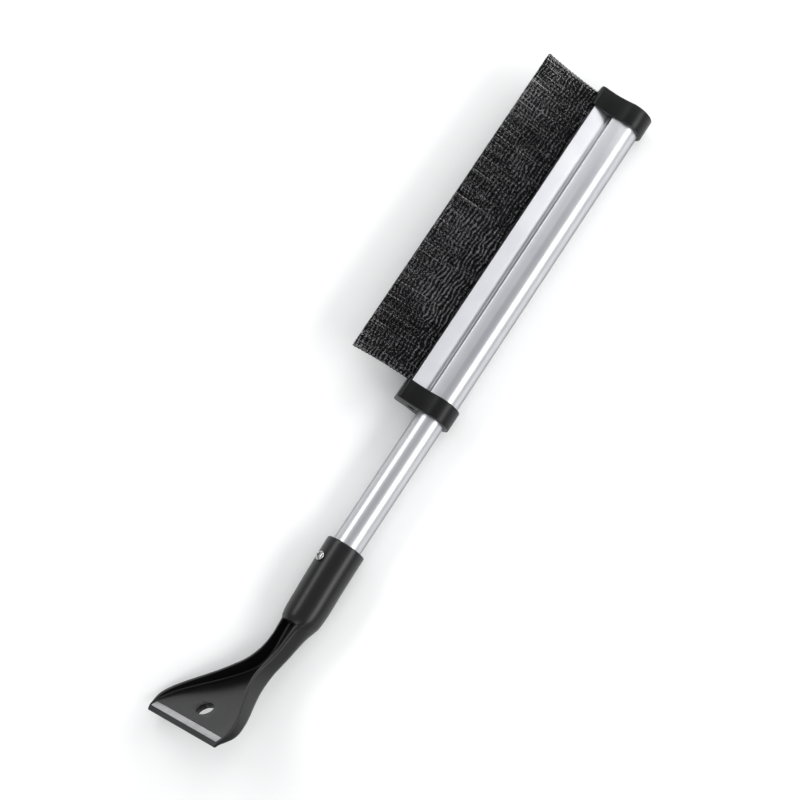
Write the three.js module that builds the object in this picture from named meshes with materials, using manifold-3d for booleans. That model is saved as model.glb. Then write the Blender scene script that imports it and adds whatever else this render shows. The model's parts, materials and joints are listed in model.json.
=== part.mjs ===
// Telescoping snow brush with an ice scraper on the end of its handle.
// The handle runs along X, from the scraper's edge at the low end to the brush's end cap at the high end.
// The part lies on a table, with the scraper's socket and one of its shoulders lowest and both end caps
// within a millimetre of the table.
// Each half is drawn with the handle's axis on X, and X = 0 on the outer face of the lower end cap.
import * as THREE from 'three';
import { mergeVertices } from 'three/addons/utils/BufferGeometryUtils.js';
import Module from 'manifold-3d';

// Driving dimensions, in millimetres and degrees.
const GAP = 0.3; // between two pieces that touch
const OVER = 1; // how far a cutting shape runs past the surface that it cuts
const HEAD_ROLL = 11.2; // the brush head's lean, bristle side up
const SHAFT_TURN = -45.2; // how far the scraper is turned round the handle

const TUBE_RADIUS = 11;
const TUBE_BORE = 10;
const TUBE_LOW = -155;
const TUBE_HIGH = 128;

const BARREL_RADIUS = 12.25;
const BARREL_BORE = 11.25;
const SHOULDER_ANGLE = 69.3; // where the barrel's round wall runs into its flat shoulder
const SHOULDER_END = new THREE.Vector2(11.6, 8.71);
const CREASE = new THREE.Vector2(12.8, 3.2);
const WING_EDGE = new THREE.Vector2(27.1, 7.2);
const RAIL_LOW = 3.3;
const RAIL_HIGH = 274.7;

const SLOT_MOUTH = 2.7; // half the slot's width between its lips
const SLOT_WIDTH = 4.1; // half the slot's width behind its lips
const SLOT_LIP = 25.3;
const SLOT_FLOOR = 21.2;
const PORT_Y = 16.6;
const PORT_RADIUS = 1.5;

const CAP_WALL = 3;
const CAP_RADIUS = 14.9;
const CAP_EDGE = 30.3;
const CAP_EDGE_HALF = 9;
const CAP_CORNER = 3.6;
const CAP_FLANK = new THREE.Vector2(16, 7.4); // what the hollow flanks bend towards
const CAP_BEVEL = 0.8;
const TUFT_ROOM = 1.6; // room that the upper cap leaves on each side of the tufts
const LOWER_CAP = [0, 15.5];
const UPPER_CAP = [262, 278];

const STRIP_LOW = 15.8;
const STRIP_HIGH = 274.4;
const TUFT_BASE = 27.9;
const TUFT_TIP = 76;
const TUFT_FLARE = 2.4; // how far the end tufts lean out along the handle
const TUFT_ROWS = 3;
const ROW_BASE = 1.5; // thickness of a row of tufts where it leaves the strip
const ROW_TIP = 3.7; // and at the bristles' ends

const SOCKET_RIM = -109;
const SOCKET_END = -175;
const SCREW_X = -125.3;
const HOLE_RADIUS = 6.4;
const HOLE_FROM_EDGE = 22; // measured up the blade from the tip
const BLADE_TILT = 29; // the blade's lean from the handle
const BLADE_TIP = new THREE.Vector2(-277.8, 33.6);
const RIB_CORNER = 0.6;
const HOLLOW_CORNER = 1.8;
const HOLLOW_TOP = 45; // anywhere above the ribs
const BLADE_FACE_RISE = 2.9; // the face stands this far above the tip's plane
const EDGE_STRIP = [3, 8]; // the metal strip's two long edges, measured the same way
const EDGE_STRIP_HALF = 41.2; // half its length
const EDGE_STRIP_DEPTH = 1.6;
const SCRAPER_SCREW_SEAT = 15; // height of the screw head's underside above the handle's axis

const TUBE_PIN = { x: 118, radius: 1.3, end: 10.6 };
const LOCK_PLUG = { low: 108, flange: 2.5, flangeRadius: 10.9, stud: 3, studEnd: 154, chamfer: 1 };
const LOCK_SLEEVE = {
  low: 131.4, high: 151, radius: 10.95, edge: 1, floor: 3, bottom: 5.6, top: 8.9, slit: 1,
};
const LOCK_CONE = { low: 138.4, high: 152.5 };

// Screws: the head's radius and height, the shank's radius and length, and the cross recess
const CAP_SCREW = { head: 2.7, headHeight: 1.3, shank: 1.2, length: 14, recess: 0.8, blade: 0.45 };
const STOP_SCREW = { head: 4.6, headHeight: 2.2, shank: 1.4, length: 10, recess: 1.1, blade: 0.5 };
const SCRAPER_SCREW = { head: 3.6, headHeight: 2.2, shank: 1.75, length: 8, recess: 1.1, blade: 0.55 };

const ROUND_SIDES = 48;
const SMALL_SIDES = 20;

const DEGREE = Math.PI / 180;
const wasm = await Module();
wasm.setup();

// Solids and their joins and cuts

function toSolid(geometry) {
  const bare = geometry.clone();
  bare.deleteAttribute('normal');
  bare.deleteAttribute('uv');
  const merged = mergeVertices(bare, 1e-4);
  return new wasm.Manifold(new wasm.Mesh({
    numProp: 3,
    vertProperties: new Float32Array(merged.attributes.position.array),
    triVerts: new Uint32Array(merged.index.array),
  }));
}

function toGeometry(solid) {
  const mesh = solid.getMesh();
  const geometry = new THREE.BufferGeometry();
  geometry.setAttribute('position', new THREE.BufferAttribute(mesh.vertProperties, 3));
  geometry.setIndex(new THREE.BufferAttribute(mesh.triVerts, 1));
  geometry.computeVertexNormals();
  return geometry;
}

function join(...pieces) {
  return toGeometry(pieces.map(toSolid).reduce((all, piece) => all.add(piece)));
}

function cut(piece, ...tools) {
  return toGeometry(tools.map(toSolid).reduce((left, tool) => left.subtract(tool), toSolid(piece)));
}

// Basic shapes

// Carries a shape drawn in Y and Z into a bar along X, from low to high.
function extrudeAlongX(shape, low, high, bevel = 0) {
  const geometry = new THREE.ExtrudeGeometry(shape, {
    depth: high - low - 2 * bevel,
    bevelEnabled: bevel > 0,
    bevelThickness: bevel,
    bevelSize: bevel,
    bevelOffset: -bevel,
    bevelSegments: 2,
    curveSegments: 14,
  });
  const alongX = new THREE.Matrix4().makeBasis(
    new THREE.Vector3(0, 1, 0), new THREE.Vector3(0, 0, 1), new THREE.Vector3(1, 0, 0));
  return geometry.applyMatrix4(alongX).translate(low + bevel, 0, 0);
}

// Turns a profile of [distance along X, radius] pairs round the X axis.
function turnRoundX(profile, sides) {
  const points = profile.map(([x, radius]) => new THREE.Vector2(radius, x));
  return new THREE.LatheGeometry(points, sides).rotateZ(-Math.PI / 2);
}

// A plain round rod along X.
function rodAlongX(radius, low, high, sides, y = 0) {
  return new THREE.CylinderGeometry(radius, radius, high - low, sides)
    .rotateZ(-Math.PI / 2)
    .translate((low + high) / 2, y, 0);
}

// A plain round rod along Z.
function rodAlongZ(radius, low, high, sides, x) {
  return new THREE.CylinderGeometry(radius, radius, high - low, sides)
    .rotateX(Math.PI / 2)
    .translate(x, 0, (low + high) / 2);
}

function boxBetween(low, high) {
  const size = high.map((value, axis) => value - low[axis]);
  const middle = high.map((value, axis) => (value + low[axis]) / 2);
  return new THREE.BoxGeometry(...size).translate(...middle);
}

// Skins a row of rings, each a list of as many points, and closes both ends with a fan.
// The rings turn right-handed about the way that the loft runs.
function loft(rings) {
  const count = rings[0].length;
  const points = rings.flat();
  const faces = [];
  for (let ring = 0; ring < rings.length - 1; ring += 1) {
    for (let side = 0; side < count; side += 1) {
      const a = ring * count + side;
      const b = ring * count + (side + 1) % count;
      faces.push(a, b, a + count, b, b + count, a + count);
    }
  }
  for (const [ring, turned] of [[0, true], [rings.length - 1, false]]) {
    const middle = rings[ring].reduce((sum, p) => sum.add(p), new THREE.Vector3()).divideScalar(count);
    points.push(middle);
    for (let side = 0; side < count; side += 1) {
      const a = ring * count + side;
      const b = ring * count + (side + 1) % count;
      faces.push(points.length - 1, turned ? b : a, turned ? a : b);
    }
  }
  const geometry = new THREE.BufferGeometry().setFromPoints(points);
  geometry.setIndex(faces);
  return geometry;
}

// Moves every side of a closed outline outwards by a distance.
function offsetOutline(points, distance) {
  return points.map((point, i) => {
    const before = points[(i + points.length - 1) % points.length];
    const after = points[(i + 1) % points.length];
    const into = point.clone().sub(before).normalize();
    const out = after.clone().sub(point).normalize();
    const first = new THREE.Vector2(into.y, -into.x);
    const second = new THREE.Vector2(out.y, -out.x);
    const reach = distance / (1 + first.dot(second));
    return point.clone().addScaledVector(first.add(second), reach);
  });
}

// Brush rail: round barrel, flat shoulders and a wing, all one extrusion

function railOutline() {
  const upper = [WING_EDGE, CREASE, SHOULDER_END];
  const steps = 28;
  const sweep = 360 - 2 * SHOULDER_ANGLE;
  const round = Array.from({ length: steps + 1 }, (_, i) => {
    const angle = (SHOULDER_ANGLE + (sweep * i) / steps) * DEGREE;
    return new THREE.Vector2(Math.cos(angle), Math.sin(angle)).multiplyScalar(BARREL_RADIUS);
  });
  const lower = upper.map((p) => new THREE.Vector2(p.x, -p.y)).reverse();
  return [...upper, ...round, ...lower];
}

function circlePath(radius, y = 0) {
  return new THREE.Path().absarc(y, 0, radius, 0, 2 * Math.PI, true);
}

function brushRail() {
  const slot = [
    [WING_EDGE.x, -SLOT_MOUTH], [SLOT_LIP, -SLOT_MOUTH], [SLOT_LIP, -SLOT_WIDTH], [SLOT_FLOOR, -SLOT_WIDTH],
    [SLOT_FLOOR, SLOT_WIDTH], [SLOT_LIP, SLOT_WIDTH], [SLOT_LIP, SLOT_MOUTH], [WING_EDGE.x, SLOT_MOUTH],
  ].map(([y, z]) => new THREE.Vector2(y, z));
  const shape = new THREE.Shape([...railOutline(), ...slot]);
  shape.holes.push(circlePath(BARREL_BORE), circlePath(PORT_RADIUS, PORT_Y));
  return extrudeAlongX(shape, RAIL_LOW, RAIL_HIGH);
}

// End caps

// The outline round one large circle and two small ones, with a flat at the wing and slightly hollow flanks.
function capShape() {
  const circles = [
    { y: 0, z: 0, radius: CAP_RADIUS },
    { y: CAP_EDGE - CAP_CORNER, z: CAP_CORNER - CAP_EDGE_HALF, radius: CAP_CORNER },
    { y: CAP_EDGE - CAP_CORNER, z: CAP_EDGE_HALF - CAP_CORNER, radius: CAP_CORNER },
  ];
  const normals = circles.map((circle, i) => {
    const next = circles[(i + 1) % circles.length];
    const heading = Math.atan2(next.z - circle.z, next.y - circle.y);
    const distance = Math.hypot(next.z - circle.z, next.y - circle.y);
    return heading - Math.acos((circle.radius - next.radius) / distance);
  });
  const onCircle = ({ y, z, radius }, angle) => [y + radius * Math.cos(angle), z + radius * Math.sin(angle)];
  const [barrel, lower, upper] = circles;
  const shape = new THREE.Shape();
  shape.absarc(barrel.y, barrel.z, barrel.radius, normals[2], normals[0], false);
  shape.quadraticCurveTo(CAP_FLANK.x, -CAP_FLANK.y, ...onCircle(lower, normals[0]));
  shape.absarc(lower.y, lower.z, lower.radius, normals[0], normals[1], false);
  shape.absarc(upper.y, upper.z, upper.radius, normals[1], normals[2], false);
  shape.quadraticCurveTo(CAP_FLANK.x, CAP_FLANK.y, ...onCircle(barrel, normals[2]));
  return shape;
}

// The hollow that takes the rail's end, and the holes for the cap's screw.
function capTools(pocket, screwHole, headSeat) {
  const railEnd = new THREE.Shape(offsetOutline(railOutline(), GAP));
  return [
    extrudeAlongX(railEnd, ...pocket),
    rodAlongX(PORT_RADIUS, ...screwHole, SMALL_SIDES, PORT_Y),
    rodAlongX(CAP_SCREW.head + GAP, ...headSeat, SMALL_SIDES, PORT_Y),
  ];
}

function lowerEndCap() {
  const [low, high] = LOWER_CAP;
  const outside = extrudeAlongX(capShape(), low, high, CAP_BEVEL);
  const seat = low + CAP_SCREW.headHeight + GAP;
  const tools = capTools([low + CAP_WALL, high + OVER], [low - OVER, high], [low - OVER, seat]);
  return cut(outside, ...tools, rodAlongX(TUBE_RADIUS + GAP, low - OVER, high, ROUND_SIDES));
}

function upperEndCap() {
  const [low, high] = UPPER_CAP;
  const outside = extrudeAlongX(capShape(), low, high, CAP_BEVEL);
  const seat = high - CAP_SCREW.headHeight - GAP;
  const tools = capTools([low - OVER, high - CAP_WALL], [low, high + OVER], [seat, high + OVER]);
  const half = (TUFT_ROWS * ROW_BASE) / 2 + TUFT_ROOM;
  const mouth = boxBetween([low - OVER, SLOT_LIP, -half], [high - CAP_WALL, CAP_EDGE + OVER, half]);
  return cut(outside, ...tools, mouth);
}

// Cross recess in a screw's head: two crossed bars, cut down from the head's top.
function crossRecess(half, blade, top, depth) {
  return [
    boxBetween([-half, -blade, top - depth], [half, blade, top + OVER]),
    boxBetween([-blade, -half, top - depth], [blade, half, top + OVER]),
  ];
}

// A screw that points down Z, its head's underside at zero.
function screw({ head, headHeight, shank, length, recess, blade }) {
  const outline = [
    [0, -length], [shank * 0.35, -length], [shank, shank * 1.2 - length], [shank, 0], [head, 0],
    [head, headHeight * 0.45], [head * 0.82, headHeight * 0.86], [head * 0.45, headHeight], [0, headHeight],
  ];
  const points = outline.map(([radius, z]) => new THREE.Vector2(radius, z));
  const body = new THREE.LatheGeometry(points, SMALL_SIDES).rotateX(Math.PI / 2);
  return cut(body, ...crossRecess(head * 0.55, blade, headHeight, recess));
}

// The head's underside is at the seat, and the head points up the handle (1) or down it (-1).
function capScrew(seat, outwards) {
  return screw(CAP_SCREW).rotateY((outwards * Math.PI) / 2).translate(seat, PORT_Y, 0);
}

// Brush strip

function brushBack() {
  const base = SLOT_WIDTH - GAP;
  const neck = SLOT_MOUTH - GAP;
  const low = SLOT_FLOOR + GAP;
  const shoulder = SLOT_LIP - GAP;
  const top = TUFT_BASE - GAP;
  const half = [[low, base], [shoulder, base], [shoulder, neck], [top, neck]];
  const outline = [...half.map(([y, z]) => [y, -z]), ...half.reverse()];
  const shape = new THREE.Shape(outline.map(([y, z]) => new THREE.Vector2(y, z)));
  return extrudeAlongX(shape, STRIP_LOW, STRIP_HIGH);
}

// One row of tufts as a plain block, spreading towards the tips.
function tuftRow(row) {
  const place = row - (TUFT_ROWS - 1) / 2;
  const ring = (y, thickness, lean) => {
    const low = STRIP_LOW + GAP - lean;
    const high = STRIP_HIGH - GAP + lean;
    const bottom = place * thickness - (thickness - GAP) / 2;
    const top = place * thickness + (thickness - GAP) / 2;
    const corners = [[low, bottom], [low, top], [high, top], [high, bottom]];
    return corners.map(([x, z]) => new THREE.Vector3(x, y, z));
  };
  return loft([
    ring(TUFT_BASE, ROW_BASE, 0),
    ring(CAP_EDGE + GAP, ROW_BASE, 0),
    ring(TUFT_TIP, ROW_TIP, TUFT_FLARE),
  ]);
}

// Sliding tube and its twist lock

function innerTube() {
  const outer = TUBE_RADIUS + OVER;
  return cut(
    rodAlongX(TUBE_RADIUS, TUBE_LOW, TUBE_HIGH, ROUND_SIDES),
    rodAlongX(TUBE_BORE, TUBE_LOW - OVER, TUBE_HIGH + OVER, ROUND_SIDES),
    rodAlongZ(TUBE_PIN.radius + GAP, -outer, outer, SMALL_SIDES, TUBE_PIN.x),
    rodAlongZ(SCRAPER_SCREW.shank + GAP, 0, outer, SMALL_SIDES, SCREW_X),
  );
}

// The plug is pinned in the tube's end, and its stud carries the sleeve and the cone.
function lockPlug() {
  const { low, flange, flangeRadius, stud, studEnd, chamfer } = LOCK_PLUG;
  const inTube = TUBE_BORE - GAP;
  const flangeLow = TUBE_HIGH + GAP;
  const flangeHigh = flangeLow + flange;
  const body = turnRoundX([
    [low, 0], [low, inTube - chamfer], [low + chamfer, inTube], [flangeLow, inTube],
    [flangeLow, flangeRadius], [flangeHigh, flangeRadius], [flangeHigh, stud], [studEnd, stud], [studEnd, 0],
  ], ROUND_SIDES);
  const tapLow = studEnd - STOP_SCREW.length - OVER;
  return cut(
    body,
    rodAlongZ(TUBE_PIN.radius + GAP, -TUBE_RADIUS, TUBE_RADIUS, SMALL_SIDES, TUBE_PIN.x),
    rodAlongX(STOP_SCREW.shank + GAP, tapLow, studEnd + OVER, SMALL_SIDES),
  );
}

function tubePin() {
  return rodAlongZ(TUBE_PIN.radius, -TUBE_PIN.end, TUBE_PIN.end, SMALL_SIDES, TUBE_PIN.x);
}

// An expanding sleeve: a cup with a tapered inside and one slit down its side.
function lockSleeve() {
  const { low, high, radius, floor, bottom, top, slit, edge } = LOCK_SLEEVE;
  const cup = turnRoundX([
    [low, 0], [low, radius - edge], [low + edge, radius], [high - edge, radius], [high, radius - edge],
    [high, top], [low + floor, bottom], [low + floor, 0],
  ], ROUND_SIDES);
  return cut(
    cup,
    rodAlongX(LOCK_PLUG.stud + GAP, low - OVER, high, SMALL_SIDES),
    boxBetween([low + floor, 0, -slit], [high + OVER, radius + OVER, slit]),
  );
}

// The cone nut that spreads the sleeve, with the same taper as the sleeve's inside.
function lockCone() {
  const sleeve = LOCK_SLEEVE;
  const { low, high } = LOCK_CONE;
  const start = sleeve.low + sleeve.floor;
  const slope = (sleeve.top - sleeve.bottom) / (sleeve.high - start);
  const radius = (x) => sleeve.bottom + slope * (x - start) - 2 * GAP;
  const nut = turnRoundX([[low, 0], [low, radius(low)], [high, radius(high)], [high, 0]], ROUND_SIDES);
  return cut(nut, rodAlongX(LOCK_PLUG.stud + GAP, low - OVER, high + OVER, SMALL_SIDES));
}

function stopScrew() {
  return screw(STOP_SCREW).rotateY(Math.PI / 2).translate(LOCK_PLUG.studEnd + GAP, 0, 0);
}

// Scraper: the handle's axis on X, its width along Y and its working face towards Z

// A ring across X with rounded corners: half width, low and high Z, and the two corner radii.
function roundedRing(x, half, low, high, lowCorner, highCorner) {
  const corner = (y, z, radius, start, steps) => Array.from({ length: steps + 1 }, (_, i) => {
    const angle = (start + (90 * i) / steps) * DEGREE;
    return new THREE.Vector3(x, y + radius * Math.cos(angle), z + radius * Math.sin(angle));
  });
  return [
    ...corner(half - highCorner, high - highCorner, highCorner, 0, 2),
    ...corner(highCorner - half, high - highCorner, highCorner, 90, 2),
    ...corner(lowCorner - half, low + lowCorner, lowCorner, 180, 6),
    ...corner(half - lowCorner, low + lowCorner, lowCorner, 270, 6),
  ];
}

// Runs a smooth curve through rows of numbers that start with X, and reads it at evenly spread rows.
function smoothRows(rows, steps) {
  const curves = rows[0].map((_, column) => {
    const points = rows.map((row, i) => new THREE.Vector2(i, row[column]));
    return new THREE.SplineCurve(points);
  });
  return Array.from({ length: steps + 1 }, (_, i) => curves.map((curve) => curve.getPoint(i / steps).y));
}

// The socket's outside: round, bowed a little to the back, with soft ends.
function socketBody() {
  // X, the circle's centre in Z, and its radius
  const rows = [
    [SOCKET_RIM, 0, 14.4], [SOCKET_RIM - 0.8, 0, 15], [-125, -0.3, 14.9], [-140, -0.9, 14.75],
    [-155, -1.7, 14.7], [-165, -1.9, 14.3], [-171, -1.5, 13.2], [-173.6, -1.5, 12.2], [SOCKET_END, -1.8, 11],
  ];
  return loft(rows.reverse().map(([x, z, radius]) => Array.from({ length: ROUND_SIDES }, (_, i) => {
    const angle = (2 * Math.PI * i) / ROUND_SIDES;
    return new THREE.Vector3(x, radius * Math.cos(angle), z + radius * Math.sin(angle));
  })));
}

// The face's height at a distance X along the handle: a plane tilted from the handle.
function faceHeight(x) {
  return BLADE_TIP.y + BLADE_FACE_RISE - Math.tan(BLADE_TILT * DEGREE) * (x - BLADE_TIP.x);
}

// The neck and the fan: half width, back, rib top and the back's corner radius at each X.
function fanBody() {
  const rows = [
    [-158, 11.5, -14.2, 7.5, 11], [-166, 12.2, -15.2, 7.6, 11.5], [-172, 11.4, -14, 7, 10.8],
    [-179, 10, -11.9, 6.4, 8.5], [-187, 9.3, -9.8, 6.3, 6.5], [-196, 9.3, -7.6, 7.1, 5.5],
    [-204, 9.8, -5.2, 8.9, 5], [-212, 11.2, -2.2, 11.8, 4.6], [-220, 14.5, 1.2, 15.5, 4.4],
    [-228, 19.4, 5.2, 18.8, 4.2], [-237, 26.6, 9.8, 22.2, 4], [-246, 34.4, 14.4, 25.4, 3.6],
    [-254, 40.6, 18.6, 28.2, 3.2], [-261, 44.2, 22, 30.6, 2.8], [-266, 45.1, 24.8, 32, 2.4],
    [-270.4, 44.4, 28, 33.1, 1.8], [-274.3, 43.3, 31, 34.3, 1.2], [-277.8, 42.4, 32.9, 33.9, 0.4],
  ];
  const rings = smoothRows(rows, 2 * (rows.length - 1)).map(([x, half, low, high, corner]) => {
    const ribCorner = Math.min(RIB_CORNER, corner / 2);
    return roundedRing(x, half, low, high, corner, ribCorner);
  });
  return loft(rings.reverse());
}

// The hollow between the ribs, down to the face: inner half width and floor at each X.
function fanHollow() {
  const rows = [
    [SOCKET_END - 0.3, 7.4, -0.6], [-182, 7.1, -0.8], [-187, 6.8, -1.2], [-196, 6.7, -1.8], [-204, 7.1, -1.4],
    [-212, 8.4, 0.6], [-220, 11.6, faceHeight(-220)], [-228, 16.4, faceHeight(-228)],
    [-237, 23.5, faceHeight(-237)], [-246, 31.2, faceHeight(-246)], [-254, 37.4, faceHeight(-254)],
    [-261, 41.2, faceHeight(-261)], [-266, 43, faceHeight(-266)], [-270.4, 44.6, faceHeight(-270.4)],
    [-274.3, 48, faceHeight(-274.3)],
  ];
  const rings = smoothRows(rows, 2 * (rows.length - 1))
    .map(([x, half, floor]) => roundedRing(x, half, floor, HOLLOW_TOP, HOLLOW_CORNER, RIB_CORNER));
  return loft(rings.reverse());
}

// Places a piece drawn on the blade: X up the blade from the tip, Z out of the face.
function onBlade(geometry) {
  return geometry.rotateY(BLADE_TILT * DEGREE).translate(BLADE_TIP.x, 0, BLADE_TIP.y);
}

// The face's height above the tip's plane, square to the blade.
const FACE_LEVEL = BLADE_FACE_RISE * Math.cos(BLADE_TILT * DEGREE);

// The strip's block, or its recess when it is grown by a gap.
function edgeStripBlock(grow, top) {
  const [low, high] = EDGE_STRIP;
  const half = EDGE_STRIP_HALF + grow;
  const floor = FACE_LEVEL - EDGE_STRIP_DEPTH - grow;
  return onBlade(boxBetween([low - grow, -half, floor], [high + grow, half, top]));
}

function scraperHead() {
  const { shank, head } = SCRAPER_SCREW;
  const reach = 20; // clear of both faces
  return cut(
    join(socketBody(), fanBody()),
    fanHollow(),
    onBlade(rodAlongZ(HOLE_RADIUS, -reach, reach, ROUND_SIDES, HOLE_FROM_EDGE)),
    edgeStripBlock(GAP, reach),
    rodAlongX(TUBE_RADIUS + GAP, TUBE_LOW - GAP, SOCKET_RIM + OVER, ROUND_SIDES),
    rodAlongZ(shank + GAP, 0, reach, SMALL_SIDES, SCREW_X),
    rodAlongZ(head + GAP, SCRAPER_SCREW_SEAT - GAP, reach, SMALL_SIDES, SCREW_X),
  );
}

function edgeStrip() {
  return edgeStripBlock(0, FACE_LEVEL);
}

function scraperScrew() {
  return screw(SCRAPER_SCREW).translate(SCREW_X, 0, SCRAPER_SCREW_SEAT);
}

// Finishes

const aluminium = { color: 0xd6d7db, roughness: 0.32, metalness: 1 };
const brightAluminium = { color: 0xcfd0d4, roughness: 0.28, metalness: 1 };
const steel = { color: 0xb4b4b6, roughness: 0.3, metalness: 1 };
const blackSteel = { color: 0x2a2a2c, roughness: 0.4, metalness: 1 };
const blackPlastic = { color: 0x1b1b1d, roughness: 0.42, metalness: 0 };
const bristle = { color: 0x1f1d22, roughness: 0.6, metalness: 0 };
const whiteNylon = { color: 0xd9d8d2, roughness: 0.5, metalness: 0 };

function piece(name, geometry, finish) {
  const mesh = new THREE.Mesh(geometry, new THREE.MeshStandardMaterial(finish));
  mesh.name = name;
  return mesh;
}

const head = new THREE.Group();
head.rotation.x = HEAD_ROLL * DEGREE;
const screwSeat = CAP_SCREW.headHeight;
head.add(
  piece('brush_rail', brushRail(), aluminium),
  piece('lower_end_cap', lowerEndCap(), blackPlastic),
  piece('upper_end_cap', upperEndCap(), blackPlastic),
  piece('lower_cap_screw', capScrew(LOWER_CAP[0] + screwSeat, -1), blackSteel),
  piece('upper_cap_screw', capScrew(UPPER_CAP[1] - screwSeat, 1), blackSteel),
  piece('brush_back', brushBack(), blackPlastic),
);
['rear', 'middle', 'front'].forEach((side, row) => {
  head.add(piece(`bristle_row_${side}`, tuftRow(row), bristle));
});

const shaft = new THREE.Group();
shaft.rotation.x = SHAFT_TURN * DEGREE;
shaft.add(
  piece('inner_tube', innerTube(), brightAluminium),
  piece('lock_plug', lockPlug(), whiteNylon),
  piece('tube_pin', tubePin(), steel),
  piece('lock_sleeve', lockSleeve(), whiteNylon),
  piece('lock_cone', lockCone(), steel),
  piece('lock_stop_screw', stopScrew(), steel),
  piece('scraper_head', scraperHead(), blackPlastic),
  piece('scraper_screw', scraperScrew(), steel),
  piece('scraper_edge_strip', edgeStrip(), steel),
);

// The part's origin is on the table, under the middle of its box.
const snowBrush = new THREE.Group();
snowBrush.add(head, shaft);
snowBrush.updateMatrixWorld(true);
const box = new THREE.Box3().setFromObject(snowBrush, true);
const middle = box.getCenter(new THREE.Vector3());
snowBrush.position.set(-middle.x, -middle.y, -box.min.z);

export default snowBrush;
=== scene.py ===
import json
import math
import random

import bmesh
import bpy
from mathutils import Matrix, Vector


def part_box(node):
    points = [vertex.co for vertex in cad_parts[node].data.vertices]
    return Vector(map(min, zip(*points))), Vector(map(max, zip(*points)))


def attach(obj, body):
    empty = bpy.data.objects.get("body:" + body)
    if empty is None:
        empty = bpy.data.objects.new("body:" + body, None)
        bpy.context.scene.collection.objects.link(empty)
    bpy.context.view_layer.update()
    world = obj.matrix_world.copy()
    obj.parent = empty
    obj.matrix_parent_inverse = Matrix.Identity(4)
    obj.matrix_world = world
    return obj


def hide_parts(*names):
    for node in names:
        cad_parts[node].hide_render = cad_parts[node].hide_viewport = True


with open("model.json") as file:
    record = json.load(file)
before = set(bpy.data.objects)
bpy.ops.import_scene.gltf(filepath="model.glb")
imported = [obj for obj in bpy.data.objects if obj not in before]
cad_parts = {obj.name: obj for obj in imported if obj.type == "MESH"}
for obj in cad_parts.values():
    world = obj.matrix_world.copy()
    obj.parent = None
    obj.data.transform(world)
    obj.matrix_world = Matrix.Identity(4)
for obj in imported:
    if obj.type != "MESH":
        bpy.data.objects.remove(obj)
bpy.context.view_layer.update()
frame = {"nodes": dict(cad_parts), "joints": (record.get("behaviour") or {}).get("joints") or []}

NODES = frame["nodes"]

# Where the two halves lie
MM = 0.001
HEAD_ROLL = math.radians(11.2)
SHAFT_TURN = math.radians(-45.2)
_, AXIS_Y, AXIS_Z = next(j["pos_m"] for j in frame["joints"] if j["name"] == "tube_twist")
START = Matrix.Translation((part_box("lower_end_cap")[0].x, AXIS_Y, AXIS_Z))
HEAD = START @ Matrix.Rotation(HEAD_ROLL, 4, "X") @ Matrix.Scale(MM, 4)
SHAFT = START @ Matrix.Rotation(SHAFT_TURN, 4, "X") @ Matrix.Scale(MM, 4)

# Sizes, in millimetres
GAP = 0.3
OVER = 1.0
TUBE_RADIUS = 11.0
TUBE_BORE = 10.0
BARREL_RADIUS = 12.25
BARREL_BORE = 11.25
SHOULDER_ANGLE = 69.3
SHOULDER_END = (11.6, 8.71)
CREASE = (12.8, 3.2)
WING_EDGE = (27.1, 7.2)
RAIL_ENDS = (3.3, 274.7)
SLOT_MOUTH, SLOT_WIDTH, SLOT_LIP, SLOT_FLOOR = 2.7, 4.1, 25.3, 21.2
PORT_Y, PORT_RADIUS = 16.6, 1.5
RAIL_EDGE = 0.35
CAP_WALL, CAP_RADIUS, CAP_EDGE, CAP_EDGE_HALF, CAP_CORNER = 3.0, 14.9, 30.3, 9.0, 3.6
CAP_FLANK = (16.0, 7.4)
CAP_ROUNDING = 0.6
CAP_SEAT_RADIUS, CAP_SEAT_DEPTH, CAP_HOLE_REACH = 3.0, 1.6, 8.0
LOWER_CAP = (0.0, 15.5)
UPPER_CAP = (262.0, 278.0)
CAP_SCREW = dict(head=2.7, height=1.3, shank=1.2, length=14, recess=0.8, blade=0.45)
TUFT_ROOM = 1.6
STRIP_ENDS = (15.8, 274.4)
TUFT_BASE, TUFT_TIP, TUFT_FLARE = 27.9, 76.0, 2.4
TUFT_ROWS = 3
ROW_BASE, ROW_TIP = 1.5, 3.7
LEAN_SPREAD, ROOT_SPREAD, TIP_SPREAD, TRIM_SPREAD, CRIMP_SPREAD = 0.2, 0.55, 1.5, 0.45, 0.35
FILAMENTS_ACROSS = 680
FILAMENT_INSET, FILAMENT_STRAY = 0.5, 0.2
FILAMENT_SPIN = (0.3, 0.7)
FILAMENT_RADIUS = 0.2
CRIMP_LENGTH = 2.9
CRIMP_HEIGHT = 0.42
CRIMP_STEPS = 8
SOCKET_RIM, SOCKET_END = -109.0, -175.0
TUBE_ENDS = (-155.0, 128.0)
TUBE_EDGE = 0.2
PIN_X, PIN_HOLE_RADIUS = 118.0, 1.6
SCREW_X, SCREW_SEAT = -125.3, 15.0
SCREW_HOLE_RADIUS, SCREW_HOLE_TOP = 2.05, 13.0
SCREW_SPOT_RADIUS, SCREW_SPOT_DEPTH, SCREW_SPOT_TOP = 3.9, 0.25, 20.0
SCRAPER_SCREW = dict(head=3.6, height=2.2, shank=1.75, length=8, recess=1.1, blade=0.55)
HOLE_RADIUS, HOLE_FROM_EDGE = 6.4, 22.0
HOLE_RIM, HOLE_RIM_SOFTENING = 0.25, 0.08
HOLE_BELOW, HOLE_ABOVE = 20, 10
BLADE_TILT = math.radians(29)
BLADE_TIP = (-277.8, 33.6)
FACE_RISE = 2.9
FACE_LEVEL = FACE_RISE * math.cos(BLADE_TILT)
EDGE_STRIP = (3.0, 8.0)
EDGE_STRIP_HALF = 41.2
EDGE_STRIP_DEPTH, EDGE_RECESS_TOP = 1.6, 12
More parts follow.
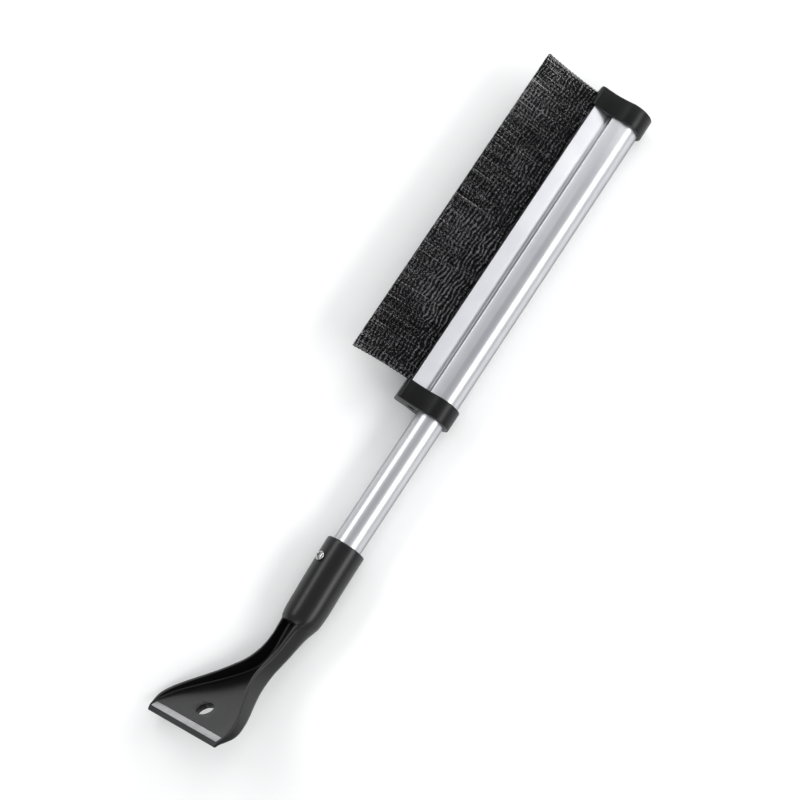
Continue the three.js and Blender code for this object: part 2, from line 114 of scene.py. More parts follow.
EDGE_STRIP_GAP, EDGE_STRIP_PROUD, EDGE_STRIP_ROUNDING = 0.12, 0.02, 0.15


# Meshes

def new_object(name, mesh):
    obj = bpy.data.objects.new(name, mesh)
    bpy.context.scene.collection.objects.link(obj)
    return obj


def mesh_object(name, vertices, faces, place):
    """A closed mesh drawn in millimetres and put in its place, its faces turned outwards."""
    mesh = bpy.data.meshes.new(name)
    mesh.from_pydata([place @ Vector(v) for v in vertices], [], faces)
    work = bmesh.new()
    work.from_mesh(mesh)
    bmesh.ops.remove_doubles(work, verts=work.verts, dist=1e-7)
    bmesh.ops.recalc_face_normals(work, faces=work.faces)
    work.to_mesh(mesh)
    work.free()
    return new_object(name, mesh)


def loft(name, rings, place):
    """Skins a row of rings that each have as many points, and closes both ends."""
    count = len(rings[0])
    vertices = [point for ring in rings for point in ring]
    faces = []
    for ring in range(len(rings) - 1):
        for side in range(count):
            a = ring * count + side
            b = ring * count + (side + 1) % count
            faces.append((a, b, b + count, a + count))
    faces.append(tuple(range(count)))
    faces.append(tuple(range((len(rings) - 1) * count, len(rings) * count)))
    return mesh_object(name, vertices, faces, place)


def prism(name, outline, low, high, place):
    """An outline in Y and Z carried along X."""
    return loft(name, [[(x, y, z) for y, z in outline] for x in (low, high)], place)


def turned(name, profile, sides, place):
    """A profile of (X, radius) turned round X."""
    rings = [circle(x, 0, 0, max(radius, 0.001), sides) for x, radius in profile]
    return loft(name, rings, place)


def circle(x, y, z, radius, sides):
    angles = [2 * math.pi * i / sides for i in range(sides)]
    return [(x, y + radius * math.cos(a), z + radius * math.sin(a)) for a in angles]


def rod(name, radius, low, high, place, y=0.0, sides=96):
    return loft(name, [circle(x, y, 0, radius, sides) for x in (low, high)], place)


def rod_along_z(name, radius, low, high, x, place, sides=64):
    angles = [2 * math.pi * i / sides for i in range(sides)]
    rings = [[(x + radius * math.cos(a), radius * math.sin(a), z) for a in angles] for z in (low, high)]
    return loft(name, rings, place)


def block(name, low, high, place):
    (x0, y0, z0), (x1, y1, z1) = low, high
    return prism(name, [(y0, z0), (y1, z0), (y1, z1), (y0, z1)], x0, x1, place)


def apply_modifiers(obj):
    graph = bpy.context.evaluated_depsgraph_get()
    mesh = bpy.data.meshes.new_from_object(obj.evaluated_get(graph))
    obj.modifiers.clear()
    obj.data = mesh


def carve(obj, *tools):
    """Takes the tools' shapes out of a piece, and removes the tools."""
    for tool in tools:
        change = obj.modifiers.new("carve", "BOOLEAN")
        change.operation = "DIFFERENCE"
        change.solver = "EXACT"
        change.object = tool
        apply_modifiers(obj)
        bpy.data.objects.remove(tool)
    return obj


def fuse(obj, other):
    """Joins another shape to a piece, and removes the other."""
    change = obj.modifiers.new("fuse", "BOOLEAN")
    change.operation = "UNION"
    change.solver = "EXACT"
    change.object = other
    apply_modifiers(obj)
    bpy.data.objects.remove(other)
    return obj


def round_edges(obj, width, segments=3, angle=30):
    change = obj.modifiers.new("edges", "BEVEL")
    change.width = width * MM
    change.segments = segments
    change.limit_method = "ANGLE"
    change.angle_limit = math.radians(angle)
    apply_modifiers(obj)
    return obj


def smooth(obj, angle=32):
    """Smooth shading, broken where two faces meet more sharply than the angle."""
    limit = math.radians(angle)
    work = bmesh.new()
    work.from_mesh(obj.data)
    bmesh.ops.remove_doubles(work, verts=work.verts, dist=1e-7)
    for face in work.faces:
        face.smooth = True
    for edge in work.edges:
        edge.smooth = len(edge.link_faces) == 2 and edge.calc_face_angle(0) < limit
    work.to_mesh(obj.data)
    work.free()
    return obj


def finish_piece(obj, body, slot, material, *nodes):
    obj.data.materials.clear()
    obj.data.materials.append(material)
    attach(obj, body)
    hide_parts(*nodes)
    return obj


# Materials

class Shader:
    """A node material that starts from a Principled BSDF, with colour, roughness and height worked out."""

    def __init__(self, name, roughness, metallic=0.0, **settings):
        self.material = bpy.data.materials.new(name)
        self.material.use_nodes = True
        self.tree = self.material.node_tree
        self.bsdf = self.tree.nodes["Principled BSDF"]
        self.bsdf.inputs["Roughness"].default_value = roughness
        self.bsdf.inputs["Metallic"].default_value = metallic
        for socket, value in settings.items():
            self.bsdf.inputs[socket.replace("_", " ")].default_value = value
        self.coordinates = self.tree.nodes.new("ShaderNodeTexCoord").outputs["Object"]

    def link(self, output, socket):
        self.tree.links.new(output, socket)

    def stretched(self, scale, turn=0.0):
        """Object coordinates in a frame turned about X, scaled per axis."""
        mapping = self.tree.nodes.new("ShaderNodeMapping")
        mapping.inputs["Scale"].default_value = scale
        mapping.inputs["Rotation"].default_value = (turn, 0, 0)
        self.link(self.coordinates, mapping.inputs["Vector"])
        return mapping.outputs["Vector"]

    def noise(self, scale, detail=3.0, vector=None):
        node = self.tree.nodes.new("ShaderNodeTexNoise")
        node.inputs["Scale"].default_value = scale
        node.inputs["Detail"].default_value = detail
        self.link(vector or self.coordinates, node.inputs["Vector"])
        return node.outputs["Fac"]

    def ramp(self, value, stops):
        node = self.tree.nodes.new("ShaderNodeValToRGB")
        ramp = node.color_ramp
        while len(ramp.elements) < len(stops):
            ramp.elements.new(0.5)
        for element, (position, colour) in zip(ramp.elements, stops):
            element.position = position
            element.color = (*colour, 1)
        self.link(value, node.inputs["Fac"])
        return node.outputs["Color"]

    def waves(self, spacing, distortion, vector):
        """Distorted bands across Y, the spacing in metres."""
        node = self.tree.nodes.new("ShaderNodeTexWave")
        node.bands_direction = "Y"
        node.inputs["Scale"].default_value = 2 * math.pi / (20 * spacing)
        node.inputs["Distortion"].default_value = distortion
        node.inputs["Detail"].default_value = 1.0
        self.link(vector, node.inputs["Vector"])
        return node.outputs["Fac"]

    def product(self, first, second):
        node = self.tree.nodes.new("ShaderNodeMath")
        node.operation = "MULTIPLY"
        self.link(first, node.inputs[0])
        self.link(second, node.inputs[1])
        return node.outputs["Value"]

    def spread(self, value, low, high):
        """A 0 to 1 value carried to a range."""
        node = self.tree.nodes.new("ShaderNodeMapRange")
        node.inputs["To Min"].default_value = low
        node.inputs["To Max"].default_value = high
        self.link(value, node.inputs["Value"])
        return node.outputs["Result"]

    def colour(self, value, stops):
        self.link(self.ramp(value, stops), self.bsdf.inputs["Base Color"])

    def roughness(self, value, low, high):
        self.link(self.spread(value, low, high), self.bsdf.inputs["Roughness"])

    def bump(self, *heights):
        """Layers of (height, strength, distance in metres)."""
        normal = None
        for height, strength, distance in heights:
            node = self.tree.nodes.new("ShaderNodeBump")
            node.inputs["Strength"].default_value = strength
            node.inputs["Distance"].default_value = distance
            self.link(height, node.inputs["Height"])
            if normal:
                self.link(normal, node.inputs["Normal"])
            normal = node.outputs["Normal"]
        self.link(normal, self.bsdf.inputs["Normal"])


def aluminium(name, low, high, roughness, turn):
    """Anodised aluminium: satin, with fine lines drawn along the handle, and shade painted on its grazing
    edges by a dark specular tint.
    """
    # The dark specular tint dims reflections towards the grazing edges, so the rounded sides read darker:
    # painted shade.
    shader = Shader(name, roughness, 1.0, Specular_Tint=(0.3, 0.3, 0.32, 1))
    lines = shader.noise(1.0, 2.0, shader.stretched((6, 9000, 9000), turn))
    broad = shader.noise(1.0, 2.0, shader.stretched((3, 700, 700), turn))
    cloud = shader.noise(38.0, 4.0)
    shader.colour(cloud, [(0.3, low), (0.7, high)])
    shader.roughness(broad, roughness - 0.05, roughness + 0.07)
    shader.bump((lines, 0.12, 0.00002), (broad, 0.1, 0.00003))
    return shader.material


def moulded_plastic(name, dark, light, roughness, gloss):
    """Moulded black plastic: a fine spark grain, slow waviness, and dust-dull patches."""
    shader = Shader(name, roughness, 0.0, Specular_IOR_Level=gloss)
    grain = shader.noise(5200.0, 2.0)
    wave = shader.noise(60.0, 2.0)
    dull = shader.noise(24.0, 5.0)
    shader.colour(dull, [(0.35, dark), (0.7, light)])
    shader.roughness(dull, roughness - 0.04, roughness + 0.08)
    shader.bump((wave, 0.12, 0.0002), (grain, 0.16, 0.00003))
    return shader.material


def bristle_nylon():
    """Black nylon filaments, with short highlights painted into their colour where the crimp would turn to
    the light.
    """
    shader = Shader("bristle_nylon", 0.36, 0.0, Specular_IOR_Level=0.1)
    along = shader.stretched((1, 1, 1), -HEAD_ROLL)
    crests = shader.waves(CRIMP_LENGTH * MM, 7.0, along)
    strands = shader.noise(1.0, 1.0, shader.stretched((900, 260, 300), -HEAD_ROLL))
    # Slow patches that vary the strength of the painted highlights.
    patches = shader.spread(shader.noise(26.0, 2.0), 0.6, 1.3)
    painted_highlights = shader.product(shader.product(crests, strands), patches)
    # The bright top stop paints the crimp highlights into the colour; the dark stops are the nylon's own
    # black.
    stops = [(0.26, (0.0006, 0.0006, 0.0008)), (0.38, (0.007, 0.0068, 0.009)), (0.56, (0.24, 0.23, 0.24))]
    shader.colour(painted_highlights, stops)
    shader.roughness(strands, 0.3, 0.46)
    shader.bump((strands, 0.2, 0.00003))
    return shader.material


def brushed_steel(name, low, high, roughness, scale):
    """Steel with fine grain along one direction."""
    shader = Shader(name, roughness, 1.0)
    grain = shader.noise(1.0, 3.0, shader.stretched(scale))
    cloud = shader.noise(160.0, 3.0)
    shader.colour(cloud, [(0.3, low), (0.7, high)])
    shader.roughness(grain, roughness - 0.06, roughness + 0.1)
    shader.bump((grain, 0.15, 0.00002))
    return shader.material


def natural_nylon():
    shader = Shader("natural_nylon", 0.42, 0.0, Subsurface_Weight=0.1, Subsurface_Scale=0.002)
    shader.colour(shader.noise(90.0, 4.0), [(0.3, (0.68, 0.66, 0.6)), (0.7, (0.76, 0.75, 0.7))])
    shader.bump((shader.noise(2400.0, 2.0), 0.12, 0.00003))
    return shader.material


RAIL_ALUMINIUM = aluminium("rail_aluminium", (0.58, 0.58, 0.61), (0.64, 0.64, 0.66), 0.32, -HEAD_ROLL)
TUBE_ALUMINIUM = aluminium("tube_aluminium", (0.58, 0.59, 0.61), (0.63, 0.63, 0.65), 0.35, -SHAFT_TURN)
CAP_PLASTIC = moulded_plastic("cap_plastic", (0.002, 0.002, 0.0024), (0.004, 0.004, 0.0045), 0.32, 0.26)
SCRAPER_BLACKS = ((0.003, 0.003, 0.0035), (0.006, 0.0055, 0.0065))
SCRAPER_PLASTIC = moulded_plastic("scraper_plastic", *SCRAPER_BLACKS, 0.3, 0.38)
STRIP_PLASTIC = moulded_plastic("strip_plastic", (0.004, 0.004, 0.004), (0.008, 0.008, 0.008), 0.4, 0.3)
BRISTLE_NYLON = bristle_nylon()
STEEL = brushed_steel("zinc_steel", (0.36, 0.35, 0.35), (0.5, 0.5, 0.5), 0.22, (900, 900, 900))
BLACK_STEEL = brushed_steel("black_steel", (0.03, 0.03, 0.032), (0.05, 0.05, 0.05), 0.38, (900, 900, 900))
# Grey metal for the blade's edge strip: a lighter band standing in for light reflected off the blade's
# bevel, a painted reflection.
PAINTED_BEVEL_REFLECTION = brushed_steel("edge_metal", (0.38, 0.375, 0.385), (0.46, 0.455, 0.465), 0.34, (5000, 120, 120))
LOCK_NYLON = natural_nylon()


# Brush head

def rail_outline(grow=0.0, steps=96):
    """The extrusion's outside in Y and Z, moved outwards by a distance."""
    upper = [WING_EDGE, CREASE, SHOULDER_END]
    sweep = 360 - 2 * SHOULDER_ANGLE
    angles = [math.radians(SHOULDER_ANGLE + sweep * i / steps) for i in range(steps + 1)]
    barrel = [(BARREL_RADIUS * math.cos(a), BARREL_RADIUS * math.sin(a)) for a in angles]
    lower = [(y, -z) for y, z in reversed(upper)]
    return grown(upper + barrel + lower, grow)


def grown(outline, distance):
    """Every side of a closed outline moved outwards."""
    if not distance:
        return outline
    moved = []
    for i, (y, z) in enumerate(outline):
        before = Vector(outline[i - 1])
        after = Vector(outline[(i + 1) % len(outline)])
        here = Vector((y, z))
        into = (here - before).normalized()
        out = (after - here).normalized()
        normals = Vector((into.y, -into.x)) + Vector((out.y, -out.x))
        step = normals * (distance / (normals.length_squared / 2))
        moved.append((y + step.x, z + step.y))
    return moved


def brush_rail():
    slot = [
        (WING_EDGE[0], -SLOT_MOUTH), (SLOT_LIP, -SLOT_MOUTH),
        (SLOT_LIP, -SLOT_WIDTH), (SLOT_FLOOR, -SLOT_WIDTH),
        (SLOT_FLOOR, SLOT_WIDTH), (SLOT_LIP, SLOT_WIDTH),
        (SLOT_LIP, SLOT_MOUTH), (WING_EDGE[0], SLOT_MOUTH),
    ]
    low, high = RAIL_ENDS
    rail = round_edges(prism("rail", rail_outline() + slot, low, high, HEAD), RAIL_EDGE, 3, 25)
    bore = rod("bore", BARREL_BORE, low - OVER, high + OVER, HEAD)
    port = rod("port", PORT_RADIUS, low - OVER, high + OVER, HEAD, PORT_Y, 32)
    return smooth(carve(rail, bore, port))


def arc(centre, radius, start, end, steps):
    y, z = centre
    angles = [start + (end - start) * i / steps for i in range(steps + 1)]
    return [(y + radius * math.cos(a), z + radius * math.sin(a)) for a in angles]


def bend(start, control, end, steps=10):
    """The inner points of a quadratic curve."""
    points = []
    for i in range(1, steps):
        t = i / steps
        weights = ((1 - t) ** 2, 2 * t * (1 - t), t * t)
        points.append(tuple(sum(w * p[k] for w, p in zip(weights, (start, control, end))) for k in (0, 1)))
    return points


def cap_outline():
    """Round the barrel, with slightly hollow flanks to a flat at the wing's edge."""
    corner = (CAP_EDGE - CAP_CORNER, CAP_EDGE_HALF - CAP_CORNER)
    distance = math.hypot(*corner)
    lean = math.atan2(corner[1], corner[0]) + math.acos((CAP_RADIUS - CAP_CORNER) / distance)
    barrel = arc((0, 0), CAP_RADIUS, lean, 2 * math.pi - lean, 72)
    upper = arc(corner, CAP_CORNER, 0, lean, 12)
    lower = [(y, -z) for y, z in reversed(upper)]
    flank = bend(upper[-1], CAP_FLANK, barrel[0])
    mirrored = [(y, -z) for y, z in reversed(flank)]
    return upper + flank + barrel + mirrored + lower


def end_cap(name, ends, pocket, outer, inwards):
    """The cap's shell: rounded outside, with a pocket for the rail's end and a seat for its screw."""
    shell = round_edges(prism(name, cap_outline(), *ends, HEAD), CAP_ROUNDING, 4, 40)
    room = prism("pocket", rail_outline(GAP), *pocket, HEAD)
    hole = rod("hole", PORT_RADIUS, outer - CAP_HOLE_REACH, outer + CAP_HOLE_REACH, HEAD, PORT_Y, 32)
    floor = outer + CAP_SEAT_DEPTH * inwards
    seat = rod("seat", CAP_SEAT_RADIUS, floor, outer - OVER * inwards, HEAD, PORT_Y, 48)
    return carve(shell, room, hole, seat)


def lower_end_cap():
    low, high = LOWER_CAP
    cap = end_cap("lower_cap", LOWER_CAP, (low + CAP_WALL, high + OVER), low, 1)
    return smooth(carve(cap, rod("tube_hole", TUBE_RADIUS + GAP, low - OVER, high, HEAD)))


def upper_end_cap():
    low, high = UPPER_CAP
    cap = end_cap("upper_cap", UPPER_CAP, (low - OVER, high - CAP_WALL), high, -1)
    half = TUFT_ROWS * ROW_BASE / 2 + TUFT_ROOM
    mouth = block("mouth", (low - OVER, SLOT_LIP, -half), (high - CAP_WALL, CAP_EDGE + OVER, half), HEAD)
    return smooth(carve(cap, mouth))


# Bristles

def crimp_phase(x, place):
    """Neighbouring filaments are crimped nearly in step, and the step drifts along the brush."""
    return 0.9 * math.sin(x / 7.3 + place) + 1.7 * math.sin(x / 19.0 + 1.3 * place) + 0.35 * x


def filament_path(x, place, dice):
    """Points from the strip to the tip of one crimped filament."""
    low, high = STRIP_ENDS
    across = (x - low) / (high - low)
    lean = TUFT_FLARE * (2 * across - 1) + dice.uniform(-LEAN_SPREAD, LEAN_SPREAD)
    base_z = place * ROW_BASE + dice.uniform(-ROOT_SPREAD, ROOT_SPREAD)
    tip_z = place * ROW_TIP + dice.uniform(-TIP_SPREAD, TIP_SPREAD)
    length = TUFT_TIP - TUFT_BASE - dice.uniform(0, TRIM_SPREAD)
    phase = crimp_phase(x, place) + dice.uniform(-CRIMP_SPREAD, CRIMP_SPREAD)
    steps = int(length / CRIMP_LENGTH * CRIMP_STEPS / 3)
    points = []
    for i in range(steps + 1):
        t = i / steps
        y = TUFT_BASE + length * t
        turn = 2 * math.pi * length * t / CRIMP_LENGTH + phase
        rise = CRIMP_HEIGHT * min(1, 6 * t)
        points.append((
            x + lean * t * t + rise * math.sin(turn),
            y,
            base_z + (tip_z - base_z) * t + 0.7 * rise * math.cos(turn + 0.8),
        ))
    return points


def bristle_row(name, row):
    place = row - (TUFT_ROWS - 1) / 2
    dice = random.Random(41 + row)
    low, high = STRIP_ENDS
    vertices = []
    faces = []
    for i in range(FILAMENTS_ACROSS):
        x = low + FILAMENT_INSET + (high - low - 2 * FILAMENT_INSET) * (i + 0.5) / FILAMENTS_ACROSS
        x += dice.uniform(-FILAMENT_STRAY, FILAMENT_STRAY)
        path = filament_path(x, place, dice)
        spin = dice.uniform(*FILAMENT_SPIN)
        first = len(vertices)
        for px, py, pz in path:
            for side in range(3):
                angle = spin + 2 * math.pi * side / 3
                aside = FILAMENT_RADIUS * math.cos(angle)
                above = FILAMENT_RADIUS * math.sin(angle)
                vertices.append((px + aside, py, pz + above))
        for step in range(len(path) - 1):
            for side in range(3):
                a = first + 3 * step + side
                b = first + 3 * step + (side + 1) % 3
                faces.append((a, b, b + 3, a + 3))
        last = first + 3 * (len(path) - 1)
        faces.append((first, first + 1, first + 2))
        faces.append((last, last + 1, last + 2))
    mesh = bpy.data.meshes.new(name)
    mesh.from_pydata([HEAD @ Vector(v) for v in vertices], [], faces)
    work = bmesh.new()
    work.from_mesh(mesh)
    bmesh.ops.recalc_face_normals(work, faces=work.faces)
    for face in work.faces:
        face.smooth = len(face.verts) == 4
    work.to_mesh(mesh)
    work.free()
    return new_object(name, mesh)


# Screws and the tube

def pan_screw(name, place, head, height, shank, length, recess, blade):
    """A pan-head screw with a cross recess, its axis on X and its head's underside at zero."""
    profile = [
        (-length, 0), (-length, shank * 0.35), (-length + 1.2 * shank, shank), (0, shank),
        (0, head - 0.15), (0.12, head), (height * 0.35, head),
    ]
    for i in range(1, 9):
        angle = math.pi / 2 * i / 8
        profile.append((height * (0.35 + 0.65 * math.sin(angle)), head * (0.25 + 0.75 * math.cos(angle))))
    profile.append((height, 0))
    body = turned(name, profile, 64, place)
    half = head * 0.55
    flat = block("flat", (height - recess, -half, -blade), (height + OVER, half, blade), place)
    upright = block("upright", (height - recess, -blade, -half), (height + OVER, blade, half), place)
    return smooth(carve(body, flat, upright))


def inner_tube():
    """The tube, its ends broken by a small chamfer."""
    low, high = TUBE_ENDS
    edge = TUBE_EDGE
    wall = [
        (low, TUBE_BORE + edge), (low, TUBE_RADIUS - edge), (low + edge, TUBE_RADIUS),
        (high - edge, TUBE_RADIUS), (high, TUBE_RADIUS - edge), (high, TUBE_BORE + edge),
        (high - edge, TUBE_BORE), (low + edge, TUBE_BORE),
    ]
    sides = 128
    rings = [circle(x, 0, 0, radius, sides) for x, radius in wall]
    count = len(rings)
    faces = []
    for ring in range(count):
        for side in range(sides):
            a = ring * sides + side
            b = ring * sides + (side + 1) % sides
            shift = ((ring + 1) % count - ring) * sides
            faces.append((a, b, b + shift, a + shift))
    tube = mesh_object("tube", [p for ring in rings for p in ring], faces, SHAFT)
    outside = TUBE_RADIUS + OVER
    pin_hole = rod_along_z("pin_hole", PIN_HOLE_RADIUS, -outside, outside, PIN_X, SHAFT, 32)
    screw_hole = rod_along_z("screw_hole", SCREW_HOLE_RADIUS, 0, outside, SCREW_X, SHAFT, 32)
    return smooth(carve(tube, pin_hole, screw_hole))


# Scraper

def spline_rows(rows, steps):
    """A smooth curve through rows of numbers, read at evenly spread rows."""
    count = len(rows) - 1
    result = []
    for i in range(steps + 1):
        place = count * i / steps
        k = min(int(place), count - 1)
        t = place - k
        four = [rows[max(k - 1, 0)], rows[k], rows[k + 1], rows[min(k + 2, count)]]
        result.append([catmull(t, *values) for values in zip(*four)])
    return result


def catmull(t, a, b, c, d):
    slope_b = (c - a) / 2
    slope_c = (d - b) / 2
    cubic = 2 * (b - c) + slope_b + slope_c
    square = 3 * (c - b) - 2 * slope_b - slope_c
    return (cubic * t + square) * t * t + slope_b * t + b


def face_height(x):
    return BLADE_TIP[1] + FACE_RISE - math.tan(BLADE_TILT) * (x - BLADE_TIP[0])


def channel_ring(x, half, back, top, corner, inner, floor, outer):
    """One section of the neck and fan: a back with round corners, two ribs and the floor between them."""
    rib = min(outer, (half - inner) * 0.85, (top - back - corner) * 0.9)
    fillet = min(1.6, max(0.05, (top - floor) * 0.45))
    crest = min(0.35, (half - inner) * 0.25, max(0.05, (top - floor) * 0.45))
    right = [(0.0, back), ((half - corner) / 2, back)]
    right += arc((half - corner, back + corner), corner, -math.pi / 2, 0, 8)
    right += arc((half - rib, top - rib), rib, 0, math.pi / 2, 5)
    right += arc((inner + crest, top - crest), crest, math.pi / 2, math.pi, 5)
    right += list(reversed(arc((inner - fillet, floor + fillet), fillet, -math.pi / 2, 0, 6)))
    right += [(inner * 0.6, floor), (inner * 0.3, floor), (0.0, floor)]
    left = [(-y, z) for y, z in reversed(right[1:-1])]
    return [(x, y, z) for y, z in right + left]


def fan():
    # X, half width, back, rib top, back's corner, hollow's half width, floor, rib's outer corner
    rows = [
        (-163, 14, -15.9, 5.6, 13, 7.6, -0.6, 6),
        (-168, 13.7, -15.3, 5.8, 12.4, 7.6, -0.6, 6),
        (-173, 12.2, -13.9, 6.2, 11, 7.4, -0.6, 4.6),
        (-179, 10.3, -11.9, 6.3, 8.7, 7.2, -0.8, 3.2),
        (-187, 9.3, -9.8, 6.3, 6.5, 6.8, -1.2, 2.2),
        (-196, 9.3, -7.6, 7.1, 5.5, 6.7, -1.8, 1.8),
        (-204, 9.8, -5.2, 8.9, 5, 7.1, -1.4, 1.5),
        (-212, 11.2, -2.2, 11.8, 4.6, 8.4, 0.6, 1.2),
        (-220, 14.5, 1.2, 15.5, 4.4, 11.6, face_height(-220), 1),
        (-228, 19.4, 5.2, 18.8, 4.2, 16.4, face_height(-228), 0.9),
        (-237, 26.6, 9.8, 22.2, 4, 23.5, face_height(-237), 0.8),
        (-246, 34.4, 14.4, 25.4, 3.6, 31.2, face_height(-246), 0.7),
        (-254, 40.6, 18.6, 28.2, 3.2, 37.4, face_height(-254), 0.7),
        (-261, 44.2, 22, 30.6, 2.8, 41.2, face_height(-261), 0.6),
        (-266, 45.1, 24.8, 32, 2.4, 42.6, face_height(-266), 0.5),
        (-270.4, 44.4, 28, 33.1, 1.8, 42.8, 32.4, 0.4),
        (-274.3, 43.3, 31, 34.3, 1.2, 42.4, 34.2, 0.3),
        (-277.8, 42.4, 32.9, 33.9, 0.4, 41.8, 33.85, 0.2),
    ]
    rings = [channel_ring(*row) for row in spline_rows(rows, 6 * (len(rows) - 1))]
    return loft("fan", rings, SHAFT)


def socket():
    """A round socket with a soft rim and a rounded end, bored for the tube."""
    # X, the circle's centre in Z, and its radius
    rows = [
        (SOCKET_END, -1.8, 10.4), (-174.4, -1.6, 11.9), (-172.6, -1.5, 12.8), (-169, -1.6, 13.7),
        (-165, -1.9, 14.3), (-160, -1.85, 14.6), (-155, -1.7, 14.7), (-148, -1.3, 14.75),
        (-140, -0.9, 14.75), (-125, -0.3, 14.9), (-112, 0, 15), (-110, 0, 15),
        (-109.4, 0, 14.85), (-109.05, 0, 14.5), (SOCKET_RIM, 0, 14), (SOCKET_RIM, 0, 11.7),
        (-109.3, 0, TUBE_RADIUS + GAP), (TUBE_ENDS[0] - GAP, 0, TUBE_RADIUS + GAP),
    ]
    rings = [circle(x, 0, z, radius, 96) for x, z, radius in rows]
    return loft("socket", rings, SHAFT)


def on_blade():
    """Placement for shapes drawn on the blade: X up the blade from its tip, Z out of its face."""
    return SHAFT @ Matrix.Translation((BLADE_TIP[0], 0, BLADE_TIP[1])) @ Matrix.Rotation(BLADE_TILT, 4, "Y")


def hole_cutter():
    """A cylinder that widens at the blade's face, to break the hole's rim."""
    levels = [
        (-HOLE_BELOW, HOLE_RADIUS),
        (FACE_LEVEL - HOLE_RIM, HOLE_RADIUS),
        (FACE_LEVEL - HOLE_RIM_SOFTENING, HOLE_RADIUS + HOLE_RIM_SOFTENING),
        (FACE_LEVEL, HOLE_RADIUS + HOLE_RIM),
        (FACE_LEVEL + HOLE_ABOVE, HOLE_RADIUS + HOLE_RIM),
    ]
    sides = 96
    angles = [2 * math.pi * i / sides for i in range(sides)]
    rings = [[(HOLE_FROM_EDGE + r * math.cos(a), r * math.sin(a), z) for a in angles] for z, r in levels]
    return loft("hole", rings, on_blade())


def strip_block(name, grow, top):
    low, high = EDGE_STRIP
    half = EDGE_STRIP_HALF + grow
    floor = FACE_LEVEL - EDGE_STRIP_DEPTH - grow
    return block(name, (low - grow, -half, floor), (high + grow, half, top), on_blade())


def scraper():
    body = fuse(socket(), fan())
    hole = hole_cutter()
    recess = strip_block("recess", EDGE_STRIP_GAP, EDGE_RECESS_TOP)
    screw_hole = rod_along_z("screw_hole", SCREW_HOLE_RADIUS, 0, SCREW_HOLE_TOP, SCREW_X, SHAFT, 32)
    floor = SCREW_SEAT - SCREW_SPOT_DEPTH
    spot = rod_along_z("spot", SCREW_SPOT_RADIUS, floor, SCREW_SPOT_TOP, SCREW_X, SHAFT)
    return smooth(carve(body, hole, recess, screw_hole, spot), 40)


def edge_strip():
    # The strip is a grey band put where the blade's bevel only reflects light: a painted reflection.
    strip = strip_block("edge_strip", 0, FACE_LEVEL + EDGE_STRIP_PROUD)
    return smooth(round_edges(strip, EDGE_STRIP_ROUNDING, 3), 40)


# The object

def build_head():
    finish_piece(brush_rail(), "brush_head", "rail_aluminium", RAIL_ALUMINIUM, "brush_rail")
    finish_piece(lower_end_cap(), "brush_head", "cap_plastic", CAP_PLASTIC, "lower_end_cap")
    finish_piece(upper_end_cap(), "brush_head", "cap_plastic", CAP_PLASTIC, "upper_end_cap")
    sunk = CAP_SCREW["height"]
    for end, x, turn in (("lower", LOWER_CAP[0] + sunk, math.pi), ("upper", UPPER_CAP[1] - sunk, 0)):
        place = HEAD @ Matrix.Translation((x, PORT_Y, 0)) @ Matrix.Rotation(turn, 4, "Z")
        fixing = pan_screw(f"{end}_screw", place, **CAP_SCREW)
        finish_piece(fixing, "brush_head", "black_steel", BLACK_STEEL, f"{end}_cap_screw")
    for row, side in enumerate(("rear", "middle", "front")):
        piece = bristle_row(f"bristles_{side}", row)
        finish_piece(piece, "brush_head", "bristles", BRISTLE_NYLON, f"bristle_row_{side}")


def build_shaft():
    finish_piece(inner_tube(), "shaft", "tube_aluminium", TUBE_ALUMINIUM, "inner_tube")
    finish_piece(scraper(), "shaft", "scraper_plastic", SCRAPER_PLASTIC, "scraper_head")
    finish_piece(edge_strip(), "shaft", "edge_metal", PAINTED_BEVEL_REFLECTION, "scraper_edge_strip")
    place = SHAFT @ Matrix.Translation((SCREW_X, 0, SCREW_SEAT)) @ Matrix.Rotation(-math.pi / 2, 4, "Y")
    fixing = pan_screw("socket_screw", place, **SCRAPER_SCREW)
    finish_piece(fixing, "shaft", "steel", STEEL, "scraper_screw")


def finish_hidden_nodes():
    """The strip and the lock keep their solids' shapes."""
    finishes = {
        "brush_back": STRIP_PLASTIC, "lock_plug": LOCK_NYLON, "lock_sleeve": LOCK_NYLON,
        "lock_cone": STEEL, "lock_stop_screw": STEEL, "tube_pin": STEEL,
    }
    for name, material in finishes.items():
        NODES[name].data.materials.clear()
        NODES[name].data.materials.append(material)


# Floor, lights and camera

FOCAL_PIXELS = 2420.0
FRAME_PIXELS = 800.0
CAMERA_DISTANCE = 1718.0
CAMERA_TURN = math.radians(12.0)
CAMERA_LEAN = math.radians(4.0)
HANDLE_SLOPE = math.radians(56.35)
AIM = (0.0, 26.0, 0.0)
FLOOR_HALF = 4.0
# Name, degrees round the handle, degrees along it, distance and size in metres, and strength
SOFT_BOXES = (
    ("key", 44, 12, 1.3, (1.6, 0.4), 5.2),
    ("fill", -57, 12, 1.3, (1.6, 0.36), 4.0),
    ("foot", 0, -58, 1.5, (0.9, 0.9), 2.0),
    ("head", 0, 66, 1.5, (1.0, 1.0), 3.0),
)


def view_axes():
    """The photographed view in the head's frame: to the camera, along the handle, and to its right."""
    away = math.cos(CAMERA_TURN)
    view = Vector((-math.sin(CAMERA_TURN), math.sin(CAMERA_LEAN) * away, math.cos(CAMERA_LEAN) * away))
    along = (Vector((1, 0, 0)) - view * view.x).normalized()
    turn = HEAD.to_3x3().normalized()
    return turn @ view, turn @ along, turn @ along.cross(view)


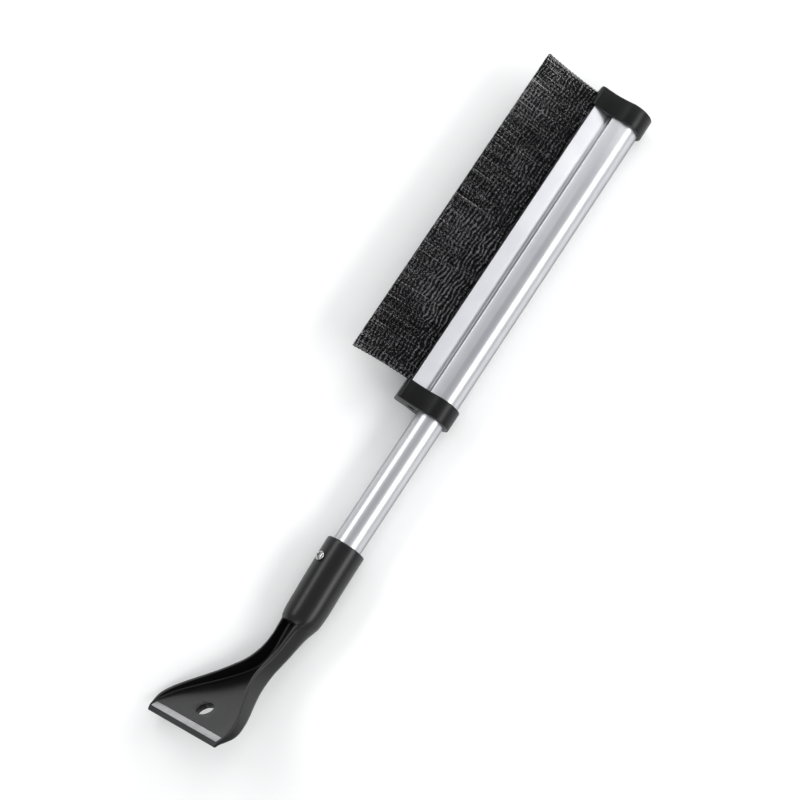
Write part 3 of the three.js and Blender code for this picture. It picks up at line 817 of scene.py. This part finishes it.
def make_camera():
    view, along, across = view_axes()
    right = along * math.cos(HANDLE_SLOPE) + across * math.sin(HANDLE_SLOPE)
    up = along * math.sin(HANDLE_SLOPE) - across * math.cos(HANDLE_SLOPE)
    data = bpy.data.cameras.new("camera")
    data.sensor_width = 36.0
    data.lens = data.sensor_width * FOCAL_PIXELS / FRAME_PIXELS
    camera = new_object("camera", data)
    position = HEAD @ Vector(AIM) + view * CAMERA_DISTANCE * MM
    camera.matrix_world = Matrix.Translation(position) @ Matrix((right, up, view)).transposed().to_4x4()
    bpy.context.scene.camera = camera


def soft_light(name, around, along, distance, size, strength):
    """A soft box over the handle: round it to the camera's right, and along it towards the brush's end."""
    round_handle = around - CAMERA_LEAN
    direction = Vector((
        math.sin(along),
        -math.sin(round_handle) * math.cos(along),
        math.cos(round_handle) * math.cos(along),
    ))
    lengthways = (Vector((1, 0, 0)) - direction * direction.x).normalized()
    sideways = direction.cross(lengthways)
    turn = HEAD.to_3x3().normalized()
    data = bpy.data.lights.new(name, "AREA")
    data.shape = "RECTANGLE"
    data.size, data.size_y = size
    data.energy = strength * math.pi * size[0] * size[1]
    light = new_object(name, data)
    axes = (turn @ Matrix((lengthways, sideways, direction)).transposed()).to_4x4()
    light.matrix_world = Matrix.Translation(HEAD @ Vector(AIM) + turn @ direction * distance) @ axes


def make_floor():
    mesh = bpy.data.meshes.new("floor")
    half = FLOOR_HALF
    corners = [(-half, -half, 0), (half, -half, 0), (half, half, 0), (-half, half, 0)]
    mesh.from_pydata(corners, [], [(0, 1, 2, 3)])
    floor = new_object("floor", mesh)
    shader = Shader("floor_white", 0.8, 0.0)
    shader.colour(shader.noise(3.0, 2.0), [(0.3, (0.9, 0.9, 0.895)), (0.7, (0.92, 0.92, 0.915))])
    mesh.materials.append(shader.material)


def make_light():
    world = bpy.data.worlds.new("studio")
    world.use_nodes = True
    world.node_tree.nodes["Background"].inputs["Color"].default_value = (0.96, 0.98, 1.0, 1)
    world.node_tree.nodes["Background"].inputs["Strength"].default_value = 0.5
    bpy.context.scene.world = world
    bpy.context.scene.view_settings.view_transform = "Standard"
    for name, around, along, distance, size, strength in SOFT_BOXES:
        soft_light(name, math.radians(around), math.radians(along), distance, size, strength)


build_head()
build_shaft()
finish_hidden_nodes()
make_floor()
make_light()
make_camera()
